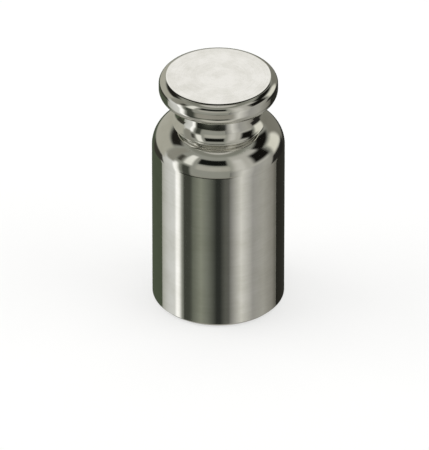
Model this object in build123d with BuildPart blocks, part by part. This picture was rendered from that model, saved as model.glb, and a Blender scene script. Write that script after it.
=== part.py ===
"""Two-piece calibration weight: a turned body with an adjusting cavity and a screw-in knob.

Millimetres. The origin is the centre of the base and +Z is the turning axis.
Each piece is turned, so each is half a profile in the XZ plane revolved about Z.
"""

from build123d import *

import os
from math import radians, sqrt, tan

# ---------------------------------------------------------------- driving dimensions
# Outside: the form of a 1 kg cylindrical knob weight.
BODY_DIAMETER = 48.0
KNOB_DIAMETER = 43.0
NECK_DIAMETER = 28.8
OVERALL_HEIGHT = 92.4

# Body: edge of the base, domed shoulder, and the seat that the knob screws down on.
BASE_CHAMFER = 1.0
SHOULDER_RADIUS = 10.1
SHOULDER_START = 63.5
SEAT_DIAMETER = 33.0
SEAM_BREAK = 0.25

# Neck of the knob: its flare down to the seat and the fillet up into the underside.
NECK_FLARE_RADIUS = 6.0
NECK_FILLET_RADIUS = 3.0
UNDERSIDE_HEIGHT = 83.5

# Head of the knob: flat top and the bevel round it.
TOP_FACE_DIAMETER = 36.8
BEVEL_ANGLE = 30.0

# Thread that closes the cavity, drawn at its major diameter.
THREAD_DIAMETER = 26.0
THREAD_CLEARANCE = 0.1
THREAD_DEPTH = 14.0
MOUTH_CHAMFER = 0.6
SPIGOT_LENGTH = 12.0
SPIGOT_CHAMFER = 1.0
RELIEF_HEIGHT = 1.6
RELIEF_DEPTH = 1.0

# Adjusting cavity and the slugs that trim the mass.
CAVITY_DIAMETER = 24.5
CAVITY_FLOOR = 5.5
SLUG_DIAMETER = 21.0
SLUG_THICKNESS = 3.3
SLUG_GAP = 0.05
SLUG_COUNT = 3

# ---------------------------------------------------------------- worked-out places
body_radius = BODY_DIAMETER / 2
seat_radius = SEAT_DIAMETER / 2
shoulder_centre = body_radius - SHOULDER_RADIUS
seat_edge_height = SHOULDER_START + sqrt(SHOULDER_RADIUS**2 - (seat_radius - shoulder_centre) ** 2)
seat_height = seat_edge_height + SEAM_BREAK

knob_radius = KNOB_DIAMETER / 2
neck_radius = NECK_DIAMETER / 2
foot_height = seat_height + SEAM_BREAK
flare_reach = neck_radius + NECK_FLARE_RADIUS - seat_radius
flare_top = foot_height + sqrt(NECK_FLARE_RADIUS**2 - flare_reach**2)
fillet_start = UNDERSIDE_HEIGHT - NECK_FILLET_RADIUS
underside_radius = neck_radius + NECK_FILLET_RADIUS
roll_radius = knob_radius - underside_radius

top_radius = TOP_FACE_DIAMETER / 2
rim_top = OVERALL_HEIGHT - (knob_radius - top_radius) * tan(radians(BEVEL_ANGLE))
rim_bottom = UNDERSIDE_HEIGHT + roll_radius

bore_radius = THREAD_DIAMETER / 2
spigot_radius = bore_radius - THREAD_CLEARANCE
relief_radius = spigot_radius - RELIEF_DEPTH
cavity_radius = CAVITY_DIAMETER / 2
thread_floor = seat_height - THREAD_DEPTH
spigot_end = seat_height - SPIGOT_LENGTH

# ---------------------------------------------------------------- body
with BuildPart() as body:
    with BuildSketch(Plane.XZ):
        with BuildLine():
            # Base, the straight side, and the domed shoulder.
            base = Line((0, 0), (body_radius, 0))
            side = Line(base @ 1, (body_radius, SHOULDER_START))
            shoulder = RadiusArc(side @ 1, (seat_radius, seat_edge_height), -SHOULDER_RADIUS)
            # Seat for the knob, then the mouth and wall of the thread.
            seam = Line(shoulder @ 1, (seat_radius - SEAM_BREAK, seat_height))
            seat = Line(seam @ 1, (bore_radius + MOUTH_CHAMFER, seat_height))
            mouth = Line(seat @ 1, (bore_radius, seat_height - MOUTH_CHAMFER))
            thread = Line(mouth @ 1, (bore_radius, thread_floor))
            # Adjusting cavity below the thread.
            step = Line(thread @ 1, (cavity_radius, thread_floor))
            wall = Line(step @ 1, (cavity_radius, CAVITY_FLOOR))
            floor = Line(wall @ 1, (0, CAVITY_FLOOR))
            Line(floor @ 1, base @ 0)
        make_face()
    revolve(axis=Axis.Z)
    # The edge that the weight stands on is broken.
    chamfer(body.edges().filter_by(GeomType.CIRCLE).group_by(Axis.Z)[0], BASE_CHAMFER)
body.part.label = "body"

# ---------------------------------------------------------------- knob
# Head, waisted neck and threaded spigot are one turning. The neck's fillet runs out
# level under the head, where the underside rolls over into the rim.
with BuildPart() as knob:
    with BuildSketch(Plane.XZ):
        with BuildLine():
            # Spigot, with its lead-in chamfer and the relief behind the thread.
            end = Line((0, spigot_end), (spigot_radius - SPIGOT_CHAMFER, spigot_end))
            lead_in = Line(end @ 1, (spigot_radius, spigot_end + SPIGOT_CHAMFER))
            crest = Line(lead_in @ 1, (spigot_radius, seat_height - RELIEF_HEIGHT - RELIEF_DEPTH))
            run_out = Line(crest @ 1, (relief_radius, seat_height - RELIEF_HEIGHT))
            relief = Line(run_out @ 1, (relief_radius, seat_height))
            # Foot that seats on the body, its edge broken where the seam shows.
            foot = Line(relief @ 1, (seat_radius - SEAM_BREAK, seat_height))
            foot_edge = Line(foot @ 1, (seat_radius, foot_height))
            # Neck, from its flare past the straight waist to the fillet under the head.
            flare = RadiusArc(foot_edge @ 1, (neck_radius, flare_top), NECK_FLARE_RADIUS)
            waist = Line(flare @ 1, (neck_radius, fillet_start))
            fillet_end = (underside_radius, UNDERSIDE_HEIGHT)
            fillet = RadiusArc(waist @ 1, fillet_end, NECK_FILLET_RADIUS)
            # Underside rolling into the rim, then the bevel round the flat top.
            roll = RadiusArc(fillet @ 1, (knob_radius, rim_bottom), -roll_radius)
            rim = Line(roll @ 1, (knob_radius, rim_top))
            bevel = Line(rim @ 1, (top_radius, OVERALL_HEIGHT))
            top = Line(bevel @ 1, (0, OVERALL_HEIGHT))
            Line(top @ 1, end @ 0)
        make_face()
    revolve(axis=Axis.Z)
knob.part.label = "knob"

# ---------------------------------------------------------------- adjusting slugs
# Loose discs stacked on the cavity floor.
with BuildPart() as adjusting_slugs:
    pitch = SLUG_THICKNESS + SLUG_GAP
    with Locations([(0, 0, CAVITY_FLOOR + level * pitch) for level in range(SLUG_COUNT)]):
        Cylinder(
            SLUG_DIAMETER / 2, SLUG_THICKNESS, align=(Align.CENTER, Align.CENTER, Align.MIN)
        )
adjusting_slugs.part.label = "adjusting_slugs"

os.makedirs("parts", exist_ok=True)
for piece in (body, knob, adjusting_slugs):
    export_step(piece.part, f"parts/{piece.part.label}.step")
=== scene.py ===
"""Looks of a two-piece calibration weight: mirror-polished body, screw-in knob, adjusting slugs.

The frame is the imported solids' own: metres, origin at the centre of the base, +Z the turning
axis. Sizes are written in millimetres and turned to metres by MM.
"""
import logging
import math
from collections.abc import Callable
from dataclasses import dataclass, field
from enum import Enum

import bmesh
import bpy
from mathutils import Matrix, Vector


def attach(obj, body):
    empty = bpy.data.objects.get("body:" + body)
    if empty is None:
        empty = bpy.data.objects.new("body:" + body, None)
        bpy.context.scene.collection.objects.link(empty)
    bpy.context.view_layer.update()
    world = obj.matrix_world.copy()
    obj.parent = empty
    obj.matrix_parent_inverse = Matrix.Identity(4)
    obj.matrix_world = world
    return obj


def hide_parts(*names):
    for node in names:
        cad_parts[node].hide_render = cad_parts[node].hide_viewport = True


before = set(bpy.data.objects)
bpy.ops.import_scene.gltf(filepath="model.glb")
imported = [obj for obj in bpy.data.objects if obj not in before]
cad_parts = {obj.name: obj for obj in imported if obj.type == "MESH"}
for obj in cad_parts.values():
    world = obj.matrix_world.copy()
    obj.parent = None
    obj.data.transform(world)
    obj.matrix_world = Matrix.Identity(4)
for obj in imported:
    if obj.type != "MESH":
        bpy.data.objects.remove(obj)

LOG = logging.getLogger("calibration_weight")
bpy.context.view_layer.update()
MM = 0.001
MIDDLE = 0.046  # height of the object's middle, which lamps and panels face, in metres
COLUMNS = 256  # facets round every turned piece
ARC_STEP = 3.0  # degrees between rings along an arc
PANEL_STRENGTH = 1.4  # makes up for what the steel takes from a reflection

Point = tuple[float, float]
Normal = tuple[float, float]
Stop = tuple[float, str]
Value = float | tuple[float, ...]


class Ride(Enum):
    """Rigid bodies that the pieces move with, as the frame names them."""

    LOWER = "weight_body"
    KNOB = "knob"


class Face(Enum):
    """How a turned face was finished, which picks its material."""

    MIRROR = 0
    LAPPED = 1
    AS_TURNED = 2


# ---------------------------------------------------------------- colour, nodes and meshes


def linear(hex_colour: str) -> tuple[float, float, float, float]:
    """Turn an sRGB hex colour into the linear colour that a socket takes.

    Args:
        hex_colour: six hex digits, with or without a leading hash.

    Returns:
        Linear red, green and blue, and an alpha of 1.
    """
    digits = hex_colour.lstrip("#")
    shares = [int(digits[i : i + 2], 16) / 255 for i in (0, 2, 4)]
    red, green, blue = [
        s / 12.92 if s <= 0.04045 else ((s + 0.055) / 1.055) ** 2.4 for s in shares
    ]
    return (red, green, blue, 1.0)


def add_node(
    tree: bpy.types.NodeTree,
    kind: str,
    values: dict[str | int, Value] | None = None,
    links: dict[str | int, bpy.types.NodeSocket] | None = None,
    **settings: object,
) -> bpy.types.Node:
    """Add one node with its settings, input values and incoming links.

    Args:
        tree: node tree that receives the node.
        kind: Blender's identifier of the node type.
        values: unlinked value of each input socket, by name or index.
        links: output socket that feeds each input socket, by name or index.
        **settings: properties set on the node itself.

    Returns:
        The new node.
    """
    node = tree.nodes.new(kind)
    for name, value in settings.items():
        setattr(node, name, value)
    for socket, value in (values or {}).items():
        node.inputs[socket].default_value = value
    for socket, source in (links or {}).items():
        tree.links.new(source, node.inputs[socket])
    return node


def fill_ramp(node: bpy.types.Node, stops: tuple[Stop, ...]) -> None:
    """Give a colour ramp its stops.

    Args:
        node: the ramp node.
        stops: position from 0 to 1 and hex colour of each stop, in order.
    """
    elements = node.color_ramp.elements
    while len(elements) > 1:
        elements.remove(elements[-1])
    for index, (position, colour) in enumerate(stops):
        element = elements[0] if index == 0 else elements.new(position)
        element.position = position
        element.color = linear(colour)


def new_surface(name: str) -> tuple[bpy.types.Material, bpy.types.Node]:
    """Start a material on Blender's Principled surface.

    Args:
        name: name of the material.

    Returns:
        The material and its surface node.
    """
    material = bpy.data.materials.new(name)
    material.use_nodes = True
    return material, material.node_tree.nodes["Principled BSDF"]


def place_mesh(name: str, mesh: bmesh.types.BMesh) -> bpy.types.Object:
    """Turn a mesh into an object in the scene.

    Args:
        name: name of the object and of its mesh.
        mesh: the mesh, which is used up.

    Returns:
        The object.
    """
    data = bpy.data.meshes.new(name)
    mesh.to_mesh(data)
    mesh.free()
    made = bpy.data.objects.new(name, data)
    bpy.context.scene.collection.objects.link(made)
    return made


# ---------------------------------------------------------------- finishes


@dataclass(frozen=True)
class TurnedSteel:
    """Austenitic stainless steel turned on a lathe, with marks that run round the axis.

    Each mark is long round the axis and narrow along the turned face, as a tool, a lap or a
    polishing cloth leaves it. Haze is the patchy dulling that handling gives the metal.
    """

    name: str
    bright: str
    dull: str
    roughness: float
    haze: float
    haze_size: float
    mark_pitch: float
    mark_length: float
    mark_depth: float

    def material(self) -> bpy.types.Material:
        """Build the material.

        Returns:
            A metallic material with haze in its tint and roughness, and marks in its bump.
        """
        material, surface = new_surface(self.name)
        tree = material.node_tree
        surface.inputs["Metallic"].default_value = 1.0
        place = add_node(tree, "ShaderNodeTexCoord").outputs["Object"]
        haze = add_node(
            tree,
            "ShaderNodeTexNoise",
            {"Scale": 1 / (self.haze_size * MM), "Detail": 5.0, "Roughness": 0.6},
            {"Vector": place},
        ).outputs["Fac"]
        marks = add_node(
            tree,
            "ShaderNodeTexNoise",
            {"Scale": 1.0, "Detail": 3.0, "Roughness": 0.55},
            {"Vector": self.around(tree, place)},
        ).outputs["Fac"]
        # The marks count for a third of what the haze does.
        worn = add_node(
            tree, "ShaderNodeMath", {1: 0.35}, {0: marks, 2: haze}, operation="MULTIPLY_ADD"
        ).outputs["Value"]
        tint = add_node(tree, "ShaderNodeValToRGB", links={"Fac": worn})
        fill_ramp(tint, ((0.55, self.bright), (0.85, self.dull)))
        tree.links.new(tint.outputs["Color"], surface.inputs["Base Color"])
        rough = add_node(
            tree,
            "ShaderNodeMapRange",
            {
                "From Min": 0.5,
                "From Max": 0.9,
                "To Min": self.roughness,
                "To Max": self.roughness + self.haze,
            },
            {"Value": worn},
        )
        tree.links.new(rough.outputs["Result"], surface.inputs["Roughness"])
        bump = add_node(
            tree,
            "ShaderNodeBump",
            {"Strength": 1.0, "Distance": self.mark_depth * MM},
            {"Height": marks},
        )
        tree.links.new(bump.outputs["Normal"], surface.inputs["Normal"])
        return material

    def around(
        self, tree: bpy.types.NodeTree, place: bpy.types.NodeSocket
    ) -> bpy.types.NodeSocket:
        """Bend a position round the axis, so that noise becomes marks that circle it.

        Args:
            tree: node tree that receives the nodes.
            place: position in the piece's own frame.

        Returns:
            A vector that turns slowly round the axis and quickly along the face.
        """
        flat = add_node(
            tree, "ShaderNodeVectorMath", {1: (1, 1, 0)}, {0: place}, operation="MULTIPLY"
        ).outputs["Vector"]
        radius = add_node(
            tree, "ShaderNodeVectorMath", links={0: flat}, operation="LENGTH"
        ).outputs["Value"]
        outward = add_node(
            tree, "ShaderNodeVectorMath", links={0: flat}, operation="NORMALIZE"
        ).outputs["Vector"]
        slow = add_node(
            tree,
            "ShaderNodeVectorMath",
            {"Scale": 20 / self.mark_length},  # a mark's length at a radius of 20 mm
            {0: outward},
            operation="SCALE",
        ).outputs["Vector"]
        height = add_node(tree, "ShaderNodeSeparateXYZ", links={0: place}).outputs["Z"]
        along = add_node(
            tree, "ShaderNodeMath", links={0: radius, 1: height}, operation="ADD"
        ).outputs["Value"]
        fast = add_node(
            tree,
            "ShaderNodeMath",
            {1: 1 / (self.mark_pitch * MM)},
            {0: along},
            operation="MULTIPLY",
        ).outputs["Value"]
        lift = add_node(tree, "ShaderNodeCombineXYZ", links={"Z": fast})
        return add_node(
            tree, "ShaderNodeVectorMath", links={0: slow, 1: lift.outputs["Vector"]}
        ).outputs["Vector"]


# Mirror-polished stainless steel: crisp, slightly warm grey reflections with a faint haze and
# hairlines round the axis. Real polishing marks are 0.02 mm apart and too fine to show, so
# they are drawn 0.9 mm apart and very shallow.
MIRROR_STEEL = TurnedSteel(
    name="stainless_steel_mirror_polished",
    bright="#DCDBD6",
    dull="#D2D1CA",
    roughness=0.05,
    haze=0.03,
    haze_size=9.0,
    mark_pitch=0.9,
    mark_length=14.0,
    mark_depth=0.001,
)

# Lapped stainless steel: a flat face faced off and rubbed on a lap, so its reflections are
# a little softer and fine rings catch the light. Real rings are 0.08 mm apart, drawn at 0.5 mm.
LAPPED_STEEL = TurnedSteel(
    name="stainless_steel_lapped_face",
    bright="#DEDDD9",
    dull="#D0CFC9",
    roughness=0.09,
    haze=0.05,
    haze_size=7.0,
    mark_pitch=0.5,
    mark_length=22.0,
    mark_depth=0.0014,
)

# As-turned stainless steel: the bore, the thread and the cavity keep the lathe tool's feed
# marks, 0.2 mm apart and drawn at 0.4 mm, so the metal is dull and grooved.
TURNED_STEEL = TurnedSteel(
    name="stainless_steel_as_turned",
    bright="#C9C7C1",
    dull="#B4B2AA",
    roughness=0.24,
    haze=0.1,
    haze_size=5.0,
    mark_pitch=0.4,
    mark_length=40.0,
    mark_depth=0.012,
)

# Tumbled stainless steel: slugs parted off a bar and tumbled to break their edges, which
# leaves a satin skin with faint parting rings.
TUMBLED_STEEL = TurnedSteel(
    name="stainless_steel_tumbled",
    bright="#C2C1BC",
    dull="#A9A8A2",
    roughness=0.32,
    haze=0.14,
    haze_size=3.0,
    mark_pitch=0.7,
    mark_length=12.0,
    mark_depth=0.01,
)


# ---------------------------------------------------------------- turned shapes


@dataclass
class Band:
    """One ring of facets of a turned face, from one place of the outline to the next."""

    start: Point
    end: Point
    start_normal: Normal
    end_normal: Normal
    face: Face


@dataclass
class Outline:
    """Half outline of a turned piece, drawn with the metal on the left of the way it runs."""

    start: Point
    bands: list[Band] = field(default_factory=list)

    @property
    def place(self) -> Point:
        """Radius and height, in millimetres, that the outline has reached."""
        return self.bands[-1].end if self.bands else self.start

    def line(self, radius: float, height: float, face: Face = Face.MIRROR) -> "Outline":
        """Run straight to a place.

        Args:
            radius: distance of the place from the axis, in millimetres.
            height: its height, in millimetres.
            face: how the face is finished.

        Returns:
            The outline itself.
        """
        start = self.place
        across, up = radius - start[0], height - start[1]
        run = math.hypot(across, up)
        normal = (up / run, -across / run)
        self.bands.append(Band(start, (radius, height), normal, normal, face))
        return self

    def arc(
        self, centre: Point, radius: float, first: float, last: float, face: Face = Face.MIRROR
    ) -> "Outline":
        """Run along an arc.

        Args:
            centre: radial place and height of the centre, in millimetres.
            radius: radius of the arc, in millimetres.
            first: angle at its start, in degrees from straight outwards towards up.
            last: angle at its end.
            face: how the face is finished.

        Returns:
            The outline itself.
        """
        steps = max(2, math.ceil(abs(last - first) / ARC_STEP))
        side = 1 if last > first else -1
        angles = [math.radians(first + (last - first) * k / steps) for k in range(steps + 1)]
        ways = [(math.cos(a), math.sin(a)) for a in angles]
        spots = [(centre[0] + radius * c, centre[1] + radius * s) for c, s in ways]
        spots[0] = self.place
        normals = [(side * c, side * s) for c, s in ways]
        for k in range(steps):
            self.bands.append(Band(spots[k], spots[k + 1], normals[k], normals[k + 1], face))
        return self


@dataclass
class Thread:
    """Single-start 60-degree thread, cut along a helix between two heights.

    Its radii are those of the crest and the root. The room gives the least and the most
    radius that the metal may have at a height, for the lead-in and the run-out.
    """

    pitch: float
    low: float
    high: float
    crest: float
    root: float
    room: Callable[[float], Point]
    face: Face = Face.AS_TURNED

    @property
    def inward(self) -> bool:
        """Whether the thread is on the wall of a hole."""
        return self.root > self.crest

    def radius(self, share: float, height: float) -> float:
        """Find the metal's surface.

        Args:
            share: place across one turn of the thread, from 0 to 1.
            height: height in millimetres.

        Returns:
            Radius of the surface in millimetres.
        """
        # Share of the depth at each bend: flat crest, flank, slightly rounded root, flank.
        knots = ((0.0, 0.0), (0.125, 0.0), (0.45, 1.0), (0.5, 1.06), (0.675, 1.0), (1.0, 0.0))
        share %= 1.0
        depth = 0.0
        for (a, low), (b, high) in zip(knots, knots[1:]):
            if a <= share <= b:
                depth = low + (high - low) * (share - a) / (b - a)
        least, most = self.room(height)
        return min(max(self.crest + (self.root - self.crest) * depth, least), most)

    def shares(self) -> tuple[float, ...]:
        """Places across one turn where the section bends."""
        return (0.0, 0.125, 0.2875, 0.45, 0.5, 0.6, 0.675, 0.8375)


class Lathe:
    """Turns outlines and threads into one mesh with exact normals."""

    def __init__(self, name: str) -> None:
        """Start a piece.

        Args:
            name: name of the piece.
        """
        self.name = name
        self.mesh = bmesh.new()
        self.normals = self.mesh.loops.layers.float_vector.new("turned_normal")
        turns = [math.tau * i / COLUMNS for i in range(COLUMNS + 1)]
        self.around = [(math.cos(t), math.sin(t)) for t in turns]

    def facet(self, corners: list[tuple[bmesh.types.BMVert, Vector]], face: Face) -> None:
        """Add one facet, leaving out corners that coincide.

        Args:
            corners: vertex and normal of each corner, in order.
            face: how the face is finished.
        """
        kept = [
            c for k, c in enumerate(corners) if (c[0].co - corners[k - 1][0].co).length > 1e-8
        ]
        if len(kept) < 3:
            return
        made = self.mesh.faces.new([vertex for vertex, _ in kept])
        made.smooth = True
        made.material_index = face.value
        for loop, (_, normal) in zip(made.loops, kept):
            loop[self.normals] = normal

    def ring(self, place: Point) -> list[bmesh.types.BMVert]:
        """Add one ring of vertices, or a single one on the axis.

        Args:
            place: radius and height in millimetres.

        Returns:
            One vertex a column, the same one throughout on the axis.
        """
        radius, height = place[0] * MM, place[1] * MM
        if radius < 1e-7:
            return [self.mesh.verts.new((0, 0, height))] * COLUMNS
        return [
            self.mesh.verts.new((radius * c, radius * s, height)) for c, s in self.around[:-1]
        ]

    def lean(self, normal: Normal) -> list[Vector]:
        """Carry a normal of the outline round to every column."""
        outward, up = normal
        return [Vector((outward * c, outward * s, up)) for c, s in self.around]

    def turn(self, outline: Outline) -> None:
        """Turn an outline round the axis.

        Args:
            outline: half outline to turn.
        """
        below = self.ring(outline.start)
        for band in outline.bands:
            above = self.ring(band.end)
            low, high = self.lean(band.start_normal), self.lean(band.end_normal)
            for i in range(COLUMNS):
                j = (i + 1) % COLUMNS
                corners = [(below[i], low[i]), (below[j], low[j]), (above[j], high[j])]
                if above[i] is not above[j]:
                    corners.append((above[i], high[i]))
                if below[i] is below[j]:
                    corners = [(below[i], low[i]), (above[j], high[j]), (above[i], high[i])]
                self.facet(corners, band.face)
            below = above

    def cut(self, thread: Thread) -> None:
        """Cut a helical thread, its rows following the helix.

        Args:
            thread: the thread to cut.
        """
        shares = thread.shares()
        turns = math.ceil((thread.high - thread.low) / thread.pitch) + 2
        rows = [k + share for k in range(turns) for share in shares]
        grid: list[list[bmesh.types.BMVert]] = []
        for i, (c, s) in enumerate(self.around):
            column = []
            for row in rows:
                height = thread.low + thread.pitch * (row - 1 + i / COLUMNS)
                height = min(max(height, thread.low), thread.high)
                share = (height - thread.low) / thread.pitch - i / COLUMNS
                radius = thread.radius(share, height)
                column.append(self.mesh.verts.new((radius * c * MM, radius * s * MM, height * MM)))
            grid.append(column)
        for i in range(COLUMNS):
            for k in range(len(rows) - 1):
                square = [grid[i][k], grid[i + 1][k], grid[i + 1][k + 1], grid[i][k + 1]]
                normals = [self.flank(thread, i, grid[i][k], grid[i][k + 1])]
                normals.append(self.flank(thread, i + 1, grid[i + 1][k], grid[i + 1][k + 1]))
                corners = list(zip(square, (normals[0], normals[1], normals[1], normals[0])))
                if thread.inward:
                    corners = [(vertex, -normal) for vertex, normal in reversed(corners)]
                self.facet(corners, thread.face)

    def flank(
        self, thread: Thread, column: int, low: bmesh.types.BMVert, high: bmesh.types.BMVert
    ) -> Vector:
        """Find the normal of a thread's flank between two rows of a column.

        Args:
            thread: the thread.
            column: which column the rows are in.
            low: vertex of the lower row.
            high: vertex of the upper row.

        Returns:
            The unit normal, pointing out of the metal.
        """
        c, s = self.around[column]
        rise = high.co.z - low.co.z
        spread = high.co.xy.length - low.co.xy.length
        slope = spread / rise if rise > 1e-9 else 0.0
        lead = thread.pitch / (math.tau * thread.crest) * slope
        return Vector((c - lead * s, s + lead * c, -slope)).normalized()

    def finish(self) -> bpy.types.Object:
        """Weld the piece and turn it into an object with its exact normals.

        Returns:
            The finished piece.
        """
        bmesh.ops.remove_doubles(self.mesh, verts=self.mesh.verts, dist=2e-7)
        piece = place_mesh(self.name, self.mesh)
        exact = piece.data.attributes["turned_normal"]
        normals = [Vector(corner.vector).normalized() for corner in exact.data]
        piece.data.attributes.remove(exact)
        piece.data.normals_split_custom_set(normals)
        return piece


# ---------------------------------------------------------------- pieces


@dataclass
class LowerBody:
    """Body of the weight: broken base edge, straight side, domed shoulder, threaded cavity.

    Sizes are in millimetres.
    """

    radius: float = 24.0
    base_chamfer: float = 1.0
    polished_edge: float = 0.3  # radius that polishing leaves on a crisp edge
    shoulder_start: float = 63.5
    shoulder_radius: float = 10.1
    seat_radius: float = 16.5
    seat_height: float = 73.51
    seam_break: float = 0.25
    bore_radius: float = 13.0
    mouth_chamfer: float = 0.6
    thread_floor: float = 59.51
    thread_pitch: float = 1.5
    thread_depth: float = 0.6
    thread_run_out: float = 1.0
    cavity_radius: float = 12.25
    cavity_floor: float = 5.5

    def room(self, height: float) -> Point:
        """Least and most radius that the thread may have at a height in the mouth."""
        mouth = self.bore_radius + max(0.0, height - (self.seat_height - self.mouth_chamfer))
        run_out = self.bore_radius + max(0.0, height - self.thread_floor - self.thread_run_out)
        return (mouth, max(mouth, run_out))

    def outside(self) -> Outline:
        """Outline from the centre of the base to the mouth of the thread."""
        centre = self.radius - self.shoulder_radius
        shoulder_end = math.degrees(math.acos((self.seat_radius - centre) / self.shoulder_radius))
        inset = self.polished_edge * math.tan(math.radians(22.5))
        heel = (self.radius - self.base_chamfer - inset, self.polished_edge)
        hip = (self.radius - self.polished_edge, self.base_chamfer + inset)
        outline = Outline((0, 0))
        outline.line(heel[0], 0, Face.LAPPED)
        outline.arc(heel, self.polished_edge, -90, -45)
        outline.line(
            hip[0] + self.polished_edge * math.cos(math.radians(45)),
            hip[1] - self.polished_edge * math.sin(math.radians(45)),
        )
        outline.arc(hip, self.polished_edge, -45, 0)
        outline.line(self.radius, self.shoulder_start)
        outline.arc((centre, self.shoulder_start), self.shoulder_radius, 0, shoulder_end)
        outline.line(self.seat_radius - self.seam_break, self.seat_height)
        return outline.line(self.bore_radius + self.mouth_chamfer, self.seat_height, Face.LAPPED)

    def inside(self) -> Outline:
        """Outline of the adjusting cavity, from the end of the thread to the axis."""
        outline = Outline((self.bore_radius, self.thread_floor))
        outline.line(self.cavity_radius, self.thread_floor, Face.AS_TURNED)
        outline.line(self.cavity_radius, self.cavity_floor, Face.AS_TURNED)
        return outline.line(0, self.cavity_floor, Face.AS_TURNED)

    def build(self) -> bpy.types.Object:
        """Turn the body and cut its thread.

        Returns:
            The body, in its place.
        """
        lathe = Lathe("lower_body")
        lathe.turn(self.outside())
        lathe.cut(
            Thread(
                pitch=self.thread_pitch,
                low=self.thread_floor,
                high=self.seat_height,
                crest=self.bore_radius,
                root=self.bore_radius + self.thread_depth,
                room=self.room,
            )
        )
        lathe.turn(self.inside())
        return lathe.finish()

    def dress(self, piece: bpy.types.Object, steels: list[bpy.types.Material]) -> None:
        """Give the body its finishes and tie it to the frame.

        Args:
            piece: the body.
            steels: finish of each kind of face.
        """
        for steel in steels:
            piece.data.materials.append(steel)
        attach(piece, Ride.LOWER.value)
        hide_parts("body")


@dataclass
class Knob:
    """Screw-in knob: bevelled head, waisted neck and the threaded spigot below its foot.

    Sizes are in millimetres.
    """

    radius: float = 21.5
    height: float = 92.4
    top_radius: float = 18.4
    brow: float = 3.1  # polishing rolls the bevel and its two edges into one soft curve
    neck_radius: float = 14.4
    flare_radius: float = 6.0
    fillet_radius: float = 3.0
    underside: float = 83.5
    foot_radius: float = 16.5
    seat_height: float = 73.51
    seam_break: float = 0.25
    spigot_radius: float = 12.9
    spigot_length: float = 12.0
    spigot_chamfer: float = 1.0
    relief_height: float = 1.6
    relief_depth: float = 1.0
    thread_pitch: float = 1.5
    thread_depth: float = 0.9

    def room(self, height: float) -> Point:
        """Least and most radius of the thread, between the lead-in and the run-out."""
        lead_in = self.spigot_radius - self.spigot_chamfer + height - self.spigot_end
        run_out = self.spigot_radius - self.relief_depth + self.relief_start - height
        return (0.0, min(lead_in, run_out, self.spigot_radius))

    @property
    def spigot_end(self) -> float:
        """Height of the spigot's lower end."""
        return self.seat_height - self.spigot_length

    @property
    def relief_start(self) -> float:
        """Height at which the thread has run out into its relief."""
        return self.seat_height - self.relief_height

    def spigot(self) -> Outline:
        """Outline of the spigot's end face, up to the start of its thread."""
        outline = Outline((0, self.spigot_end))
        return outline.line(
            self.spigot_radius - self.spigot_chamfer, self.spigot_end, Face.AS_TURNED
        )

    def head(self) -> Outline:
        """Outline from the thread's run-out, past the neck and the rim, to the top's centre."""
        relief = self.spigot_radius - self.relief_depth
        foot = self.seat_height + self.seam_break
        reach = self.neck_radius + self.flare_radius - self.foot_radius
        flare_top = foot + math.sqrt(self.flare_radius**2 - reach**2)
        flare_start = 180 + math.degrees(math.acos(reach / self.flare_radius))
        fillet_start = self.underside - self.fillet_radius
        fillet_centre = self.neck_radius + self.fillet_radius
        roll = self.radius - fillet_centre
        outline = Outline((relief, self.relief_start))
        outline.line(relief, self.seat_height, Face.AS_TURNED)
        outline.line(self.foot_radius - self.seam_break, self.seat_height, Face.LAPPED)
        outline.line(self.foot_radius, foot)
        outline.arc(
            (self.neck_radius + self.flare_radius, flare_top), self.flare_radius, flare_start, 180
        )
        outline.line(self.neck_radius, fillet_start)
        outline.arc((fillet_centre, fillet_start), self.fillet_radius, 180, 90)
        outline.arc((fillet_centre, self.underside + roll), roll, -90, 0)
        outline.line(self.radius, self.height - self.brow)
        outline.arc((self.top_radius, self.height - self.brow), self.brow, 0, 90)
        return outline.line(0, self.height, Face.LAPPED)

    def build(self) -> bpy.types.Object:
        """Turn the knob and cut its thread.

        Returns:
            The knob, in its place.
        """
        lathe = Lathe("knob_with_spigot")
        lathe.turn(self.spigot())
        lathe.cut(
            Thread(
                pitch=self.thread_pitch,
                low=self.spigot_end,
                high=self.relief_start,
                crest=self.spigot_radius,
                root=self.spigot_radius - self.thread_depth,
                room=self.room,
            )
        )
        lathe.turn(self.head())
        return lathe.finish()

    def dress(self, piece: bpy.types.Object, steels: list[bpy.types.Material]) -> None:
        """Give the knob its finishes and tie it to the frame.

        Args:
            piece: the knob.
            steels: finish of each kind of face.
        """
        for steel in steels:
            piece.data.materials.append(steel)
        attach(piece, Ride.KNOB.value)
        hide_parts("knob")


@dataclass
class AdjustingSlugs:
    """Loose discs on the cavity floor that trim the mass. Sizes are in millimetres."""

    radius: float = 10.5
    thickness: float = 3.3
    edge: float = 0.3  # broken by the tumbling
    gap: float = 0.05
    count: int = 3
    floor: float = 5.5

    def outline(self, height: float) -> Outline:
        """Outline of one slug standing at a height."""
        top = height + self.thickness
        outline = Outline((0, height))
        outline.line(self.radius - self.edge, height)
        outline.line(self.radius, height + self.edge)
        outline.line(self.radius, top - self.edge)
        outline.line(self.radius - self.edge, top)
        return outline.line(0, top)

    def build(self) -> bpy.types.Object:
        """Turn the stack of slugs.

        Returns:
            The slugs, in their place.
        """
        lathe = Lathe("slug_stack")
        for level in range(self.count):
            lathe.turn(self.outline(self.floor + level * (self.thickness + self.gap)))
        return lathe.finish()

    def dress(self, piece: bpy.types.Object, steel: bpy.types.Material) -> None:
        """Give the slugs their finish and tie them to the frame.

        Args:
            piece: the slugs.
            steel: their finish.
        """
        piece.data.materials.append(steel)
        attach(piece, Ride.LOWER.value)
        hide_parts("adjusting_slugs")


# ---------------------------------------------------------------- studio


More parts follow.
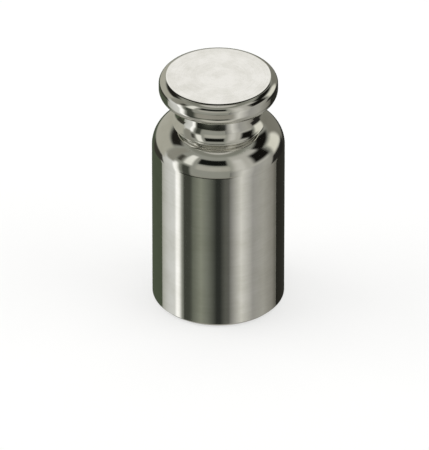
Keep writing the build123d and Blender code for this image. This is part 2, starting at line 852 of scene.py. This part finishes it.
@dataclass(frozen=True)
class Card:
    """Panel of a light tent, curved round the object, that only shows in its polished metal.

    Azimuths are in degrees from the front towards the right, elevations in degrees above
    the object's middle. The stops run from the panel's first azimuth to its last. The panel
    fades out towards its sides and towards its top and bottom over the degrees in fade.
    """

    name: str
    azimuths: Point
    elevations: Point
    stops: tuple[Stop, ...] | str
    fade: Point = (0.0, 0.0)
    layer: int = 0
    step: float = 3.0  # degrees across one facet

    @property
    def distance(self) -> float:
        """Distance from the object's middle in metres, shorter for a layer further in."""
        return 2.0 - 0.1 * self.layer

    def point(self, azimuth: float, share: float) -> Vector:
        """Point on the panel at an azimuth, at a share of the way from its bottom to its top."""
        low, high = self.elevations
        turn, tilt = math.radians(azimuth), math.radians(low + (high - low) * share)
        level = self.distance * math.cos(tilt)
        height = MIDDLE + self.distance * math.sin(tilt)
        return Vector((level * math.sin(turn), -level * math.cos(turn), height))

    def build(self) -> bpy.types.Object:
        """Build the panel with its glow, seen only in reflections.

        Returns:
            The panel.
        """
        (left, right), (low, high) = self.azimuths, self.elevations
        across = max(1, math.ceil((right - left) / self.step))
        up = max(1, math.ceil((high - low) / self.step))
        mesh = bmesh.new()
        spread = mesh.loops.layers.uv.new("spread")
        rows = [
            [
                mesh.verts.new(self.point(left + (right - left) * i / across, k / up))
                for i in range(across + 1)
            ]
            for k in range(up + 1)
        ]
        for k in range(up):
            for i in range(across):
                made = mesh.faces.new(
                    (rows[k][i], rows[k + 1][i], rows[k + 1][i + 1], rows[k][i + 1])
                )
                places = ((i, k), (i, k + 1), (i + 1, k + 1), (i + 1, k))
                for loop, (a, b) in zip(made.loops, places):
                    loop[spread].uv = (a / across, b / up)
        panel = place_mesh(self.name, mesh)
        panel.data.materials.append(self.glow())
        panel.visible_camera = False
        panel.visible_diffuse = False
        panel.visible_shadow = False
        return panel

    def glow(self) -> bpy.types.Material:
        """Build the panel's glow, graded from side to side and faded at its edges.

        Returns:
            The material.
        """
        left, right = self.azimuths
        material = bpy.data.materials.new(f"tent_{self.name}")
        material.use_nodes = True
        tree = material.node_tree
        tree.nodes.clear()
        spread = add_node(tree, "ShaderNodeUVMap", uv_map="spread").outputs["UV"]
        split = add_node(tree, "ShaderNodeSeparateXYZ", links={0: spread})
        grade = add_node(tree, "ShaderNodeValToRGB", links={"Fac": split.outputs["X"]})
        stops = ((left, self.stops),) if isinstance(self.stops, str) else self.stops
        fill_ramp(grade, tuple(((place - left) / (right - left), tone) for place, tone in stops))
        light = add_node(
            tree,
            "ShaderNodeEmission",
            {"Strength": PANEL_STRENGTH},
            {"Color": grade.outputs["Color"]},
        ).outputs["Emission"]
        clear = add_node(tree, "ShaderNodeBsdfTransparent").outputs["BSDF"]
        for axis, span, fade in zip("XY", (self.azimuths, self.elevations), self.fade):
            if fade:
                edge = self.edge(tree, split.outputs[axis], fade / (span[1] - span[0]))
                light = add_node(
                    tree, "ShaderNodeMixShader", links={0: edge, 1: clear, 2: light}
                ).outputs["Shader"]
        add_node(tree, "ShaderNodeOutputMaterial", links={"Surface": light})
        material.cycles.emission_sampling = "NONE"
        return material

    def edge(
        self, tree: bpy.types.NodeTree, place: bpy.types.NodeSocket, share: float
    ) -> bpy.types.NodeSocket:
        """Measure how far a place is inside the panel's soft edges.

        Args:
            tree: node tree that receives the nodes.
            place: place from 0 at one edge to 1 at the other.
            share: share of the panel that each soft edge takes.

        Returns:
            0 on an edge, rising smoothly to 1 where the panel is at its full strength.
        """
        inside = add_node(tree, "ShaderNodeMath", {1: 0.5}, {0: place}, operation="PINGPONG")
        soft = add_node(
            tree,
            "ShaderNodeMapRange",
            {"From Max": share},
            {"Value": inside.outputs["Value"]},
            interpolation_type="SMOOTHSTEP",
        )
        return soft.outputs["Result"]


@dataclass(frozen=True)
class Strip(Card):
    """Card lying on the table, between two radii in millimetres.

    Its elevations are 0 to 1, so the second fade is a share of its width.
    """

    radii: Point = (120.0, 140.0)

    def point(self, azimuth: float, share: float) -> Vector:
        """Point on the strip at an azimuth, at a share of the way across its width."""
        near, far = self.radii
        turn = math.radians(azimuth)
        radius = (near + (far - near) * share) * MM
        return Vector((radius * math.sin(turn), -radius * math.cos(turn), MM))


@dataclass
class LightTent:
    """Softboxes, cards and black flags, set round the object so that polished metal reads."""

    low: float = -52.0  # elevation of the softboxes' lower edge, in degrees
    left_edge: float = -115.0  # azimuth at which the left softbox begins
    right_edge: float = 119.5  # azimuth at which the right softbox ends

    def wall(self) -> tuple[Card, ...]:
        """Cloth of the tent: its wall, floor and roof."""
        round_about = (-180, 180)
        return (
            Card("wall", round_about, (-89, 89), "#8A8B84"),
            Card("floor_cloth", round_about, (-89, -42), "#8F8E88", (0, 8), 1),
            Card("floor_sheet", (-50, 50), (-76, -40), "#B4B2AA", (16, 8), 2),
            Card("roof_cloth", round_about, (58, 89), "#7A7B73", (0, 8), 1),
            Card("zenith", round_about, (72, 89), "#AEADA7", (0, 4), 2),
        )

    def bands(self) -> tuple[Card, ...]:
        """Softboxes and dark bands that the straight side shows, from the left to the back."""
        left = (
            (self.left_edge, "#9A9B93"),
            (-105, "#B4B5B1"),
            (-95, "#C3C4C2"),
            (-82, "#CBCCCA"),
            (-77, "#FFFFFF"),
            (-72, "#F4F4F2"),
            (-66, "#80827B"),
        )
        front = (
            (-70, "#787A73"),
            (-60, "#3C3F39"),
            (-54, "#41453E"),
            (-30, "#808377"),
            (-20, "#6E7168"),
            (-3, "#2C2E2B"),
            (3, "#2D2F2C"),
            (12, "#565752"),
            (26, "#62625F"),
        )
        right = (
            (18, "#62625F"),
            (40, "#CAC9C4"),
            (62, "#949390"),
            (84, "#9B9A94"),
            (108, "#807E78"),
            (self.right_edge, "#5A5852"),
        )
        back = (
            (self.right_edge, "#24231F"),
            (165, "#2D2D29"),
            (200, "#464D3F"),
            (245, "#464D3F"),
        )
        return (
            Card("back_band", (self.right_edge, 245), (self.low, -2), back, (0, 14), 3),
            Card("front_bands", (-70, 26), (self.low, -20), front, (0, 10), 3),
            Card("left_softbox", (self.left_edge, -62), (self.low, 10), left, (1.5, 10), 4),
            Card("right_softbox", (18, self.right_edge), (self.low, 6), right, (1.5, 14), 4),
        )

    def cards(self) -> tuple[Card, ...]:
        """Cards and flags above the softboxes, which the shoulder, neck and knob show."""
        return (
            Card("front_card", (-42, 24), (0, 26), "#A09F97", (9, 8), 2),
            Card("right_upper_card", (18, 100), (-10, 64), "#A8A7A1", (12, 12), 2),
            Card("right_strip", (24, 52), (-8, 50), "#BEBDB8", (12, 14), 3),
            Card("front_left_gobo", (-66, -44), (-40, 12), "#3E403A", (7, 9), 5),
            Card("side_wall_left", (-172, -94), (-14, 38), "#A3A298", (10, 9), 5),
            Card("side_wall_right", (128, 176), (-20, 38), "#74736B", (10, 10), 5),
            Card("side_card_right", (100, 140), (-10, 34), "#D2D1C7", (10, 12), 6),
            Card("left_upper_card", (-100, -72), (-6, 60), "#84837B", (9, 10), 6),
            Card("strip_left", (-64, -42), (10, 56), "#DEDED8", (7, 8), 6),
            Card("gobo_left", (-79, -61), (10, 42), "#3F3E38", (8, 9), 7),
            Card("flag_front", (-40, 19), (24, 51), "#131412", (6, 6), 6),
            Card("flag_left", (-166, -100), (32, 58), "#1E1D1A", (12, 8), 7),
            Card("flag_right", (56, 104), (2, 48), "#12110F", (12, 12), 7),
            Card("flag_right_top", (84, 154), (30, 58), "#12110F", (12, 8), 7),
            Card("neck_gobo_left", (-142, -102), (-30, -7), "#35342E", (6, 6), 8),
            Card("neck_gobo_right", (98, 144), (-30, -5), "#22211F", (6, 6), 8),
            Card("flag_back", (150, 210), (34, 76), "#24251F", (8, 5), 6),
            Card("card_back", (166, 194), (20, 46), "#E8E7E5", (4, 3), 7),
        )

    def strips(self) -> tuple[Strip, ...]:
        """Strips on the table, where only the neck and the rim of the knob look down on them."""
        whole, soft = (0, 1), (12, 0.35)
        return (
            Strip("neck_dark", (-68, 26), whole, "#1F201C", soft, radii=(122, 144)),
            Strip("rim_light", (-48, 34), whole, "#8C8A82", soft, radii=(144, 174)),
        )

    def build(self) -> list[bpy.types.Object]:
        """Build every panel.

        Returns:
            The panels.
        """
        panels = (*self.wall(), *self.bands(), *self.cards(), *self.strips())
        return [panel.build() for panel in panels]


@dataclass
class Studio:
    """Pale floor, white surroundings and plain soft light. Sizes are in metres."""

    floor_radius: float = 4.0
    floor_tone: str = "#F4F4F2"
    lamp_size: float = 1.2
    lamp_distance: float = 1.5

    def floor(self) -> bpy.types.Object:
        """Lay the floor, a round sheet just under the base.

        Returns:
            The floor.
        """
        mesh = bmesh.new()
        bmesh.ops.create_circle(mesh, cap_ends=True, radius=self.floor_radius, segments=64)
        floor = place_mesh("studio_floor", mesh)
        floor.data.materials.append(self.paper())
        floor.location.z = -0.02 * MM  # a hair below the base, so that they don't flicker
        floor.visible_glossy = False
        return floor

    def paper(self) -> bpy.types.Material:
        """Build the floor's finish: matt white card that keeps the object's shadow.

        Returns:
            The material.
        """
        material = bpy.data.materials.new("matt_white_card")
        material.use_nodes = True
        tree = material.node_tree
        tree.nodes.clear()
        lit = add_node(tree, "ShaderNodeBsdfDiffuse", {"Color": linear(self.floor_tone)})
        white = add_node(tree, "ShaderNodeEmission", {"Color": (1, 1, 1, 1), "Strength": 1.0})
        seen = add_node(tree, "ShaderNodeLightPath").outputs["Is Camera Ray"]
        share = add_node(tree, "ShaderNodeMath", {1: 0.55}, {0: seen}, operation="MULTIPLY")
        mixed = add_node(
            tree,
            "ShaderNodeMixShader",
            links={0: share.outputs[0], 1: lit.outputs[0], 2: white.outputs[0]},
        )
        under = add_node(tree, "ShaderNodeNewGeometry").outputs["Backfacing"]
        clear = add_node(tree, "ShaderNodeBsdfTransparent")
        both = add_node(
            tree,
            "ShaderNodeMixShader",
            links={0: under, 1: mixed.outputs[0], 2: clear.outputs[0]},
        )
        add_node(tree, "ShaderNodeOutputMaterial", links={"Surface": both.outputs[0]})
        return material

    def surroundings(self) -> None:
        """Set the world: white where it is seen, directly or in metal, and soft as a light."""
        world = bpy.data.worlds.new("white_surroundings")
        bpy.context.scene.world = world
        world.use_nodes = True
        tree = world.node_tree
        tree.nodes.clear()
        path = add_node(tree, "ShaderNodeLightPath")
        seen = add_node(
            tree,
            "ShaderNodeMath",
            links={0: path.outputs["Is Camera Ray"], 1: path.outputs["Is Glossy Ray"]},
            operation="MAXIMUM",
        )
        shown = add_node(
            tree,
            "ShaderNodeMath",
            links={0: seen.outputs[0], 1: path.outputs["Is Transmission Ray"]},
            operation="MAXIMUM",
        )
        strength = add_node(
            tree,
            "ShaderNodeMapRange",
            {"To Min": 0.45, "To Max": 1.0},
            {"Value": shown.outputs[0]},
        )
        sky = add_node(
            tree,
            "ShaderNodeBackground",
            {"Color": (1, 1, 1, 1)},
            {"Strength": strength.outputs["Result"]},
        )
        add_node(tree, "ShaderNodeOutputWorld", links={"Surface": sky.outputs[0]})

    def lamp(self, name: str, azimuth: float, elevation: float, power: float) -> bpy.types.Object:
        """Hang one soft lamp that faces the object.

        Args:
            name: name of the lamp.
            azimuth: degrees from the front towards the right.
            elevation: degrees above the object's middle.
            power: power in watts.

        Returns:
            The lamp.
        """
        light = bpy.data.lights.new(name, "AREA")
        light.shape = "SQUARE"
        light.size = self.lamp_size
        light.energy = power
        lamp = bpy.data.objects.new(name, light)
        turn, tilt = math.radians(azimuth), math.radians(elevation)
        way = Vector(
            (
                math.cos(tilt) * math.sin(turn),
                -math.cos(tilt) * math.cos(turn),
                math.sin(tilt),
            )
        )
        lamp.location = Vector((0, 0, MIDDLE)) + way * self.lamp_distance
        lamp.rotation_mode = "QUATERNION"
        lamp.rotation_quaternion = way.to_track_quat("Z", "Y")
        lamp.visible_glossy = False
        lamp.visible_camera = False
        bpy.context.scene.collection.objects.link(lamp)
        return lamp

    def build(self) -> None:
        """Lay the floor, set the surroundings and hang the lamps."""
        self.floor()
        self.surroundings()
        self.lamp("soft_lamp_left", -95, 40, 9.0)
        self.lamp("soft_lamp_right", 80, 40, 7.0)
        self.lamp("soft_lamp_top", 180, 80, 9.0)


@dataclass
class Camera:
    """Long lens that looks down on the weight from the front."""

    elevation: float = 33.0  # degrees above level
    distance: float = 3.6  # metres from the weight's middle
    lens: float = 796.0
    middle: float = 46.2  # half the weight's height, in millimetres
    aim_left: float = 1.39  # how far the lens points to the left of the middle
    aim_below: float = 14.85  # and below it

    def build(self) -> bpy.types.Object:
        """Set up the camera.

        Returns:
            The camera.
        """
        tilt = math.radians(self.elevation)
        back = Vector((0, -math.cos(tilt), math.sin(tilt)))
        up = Vector((0, math.sin(tilt), math.cos(tilt)))
        middle = Vector((0, 0, self.middle * MM))
        aim = middle - up * self.aim_below * MM - Vector((self.aim_left * MM, 0, 0))
        data = bpy.data.cameras.new("long_lens")
        data.sensor_width = 36.0
        data.lens = self.lens
        data.clip_start = 0.1
        data.clip_end = 20.0
        camera = bpy.data.objects.new("long_lens", data)
        camera.location = middle + back * self.distance
        camera.rotation_mode = "QUATERNION"
        camera.rotation_quaternion = (aim - camera.location).to_track_quat("-Z", "Y")
        bpy.context.scene.collection.objects.link(camera)
        bpy.context.scene.camera = camera
        return camera


# ---------------------------------------------------------------- putting it together


def report(piece: bpy.types.Object) -> None:
    """Log a piece's name and its number of triangles.

    Args:
        piece: the finished piece.
    """
    triangles = sum(len(face.vertices) - 2 for face in piece.data.polygons)
    LOG.info("%s: %d triangles", piece.name, triangles)


def main() -> None:
    """Build and dress the weight, then the studio and the camera."""
    logging.basicConfig(level=logging.INFO, format="%(name)s: %(message)s")
    steels = [MIRROR_STEEL.material(), LAPPED_STEEL.material(), TURNED_STEEL.material()]
    for part in (LowerBody(), Knob()):
        piece = part.build()
        part.dress(piece, steels)
        report(piece)
    slugs = AdjustingSlugs()
    stack = slugs.build()
    slugs.dress(stack, TUMBLED_STEEL.material())
    report(stack)
    LightTent().build()
    Studio().build()
    Camera().build()
    bpy.context.scene.view_settings.view_transform = "Standard"


if __name__ == "__main__":
    main()
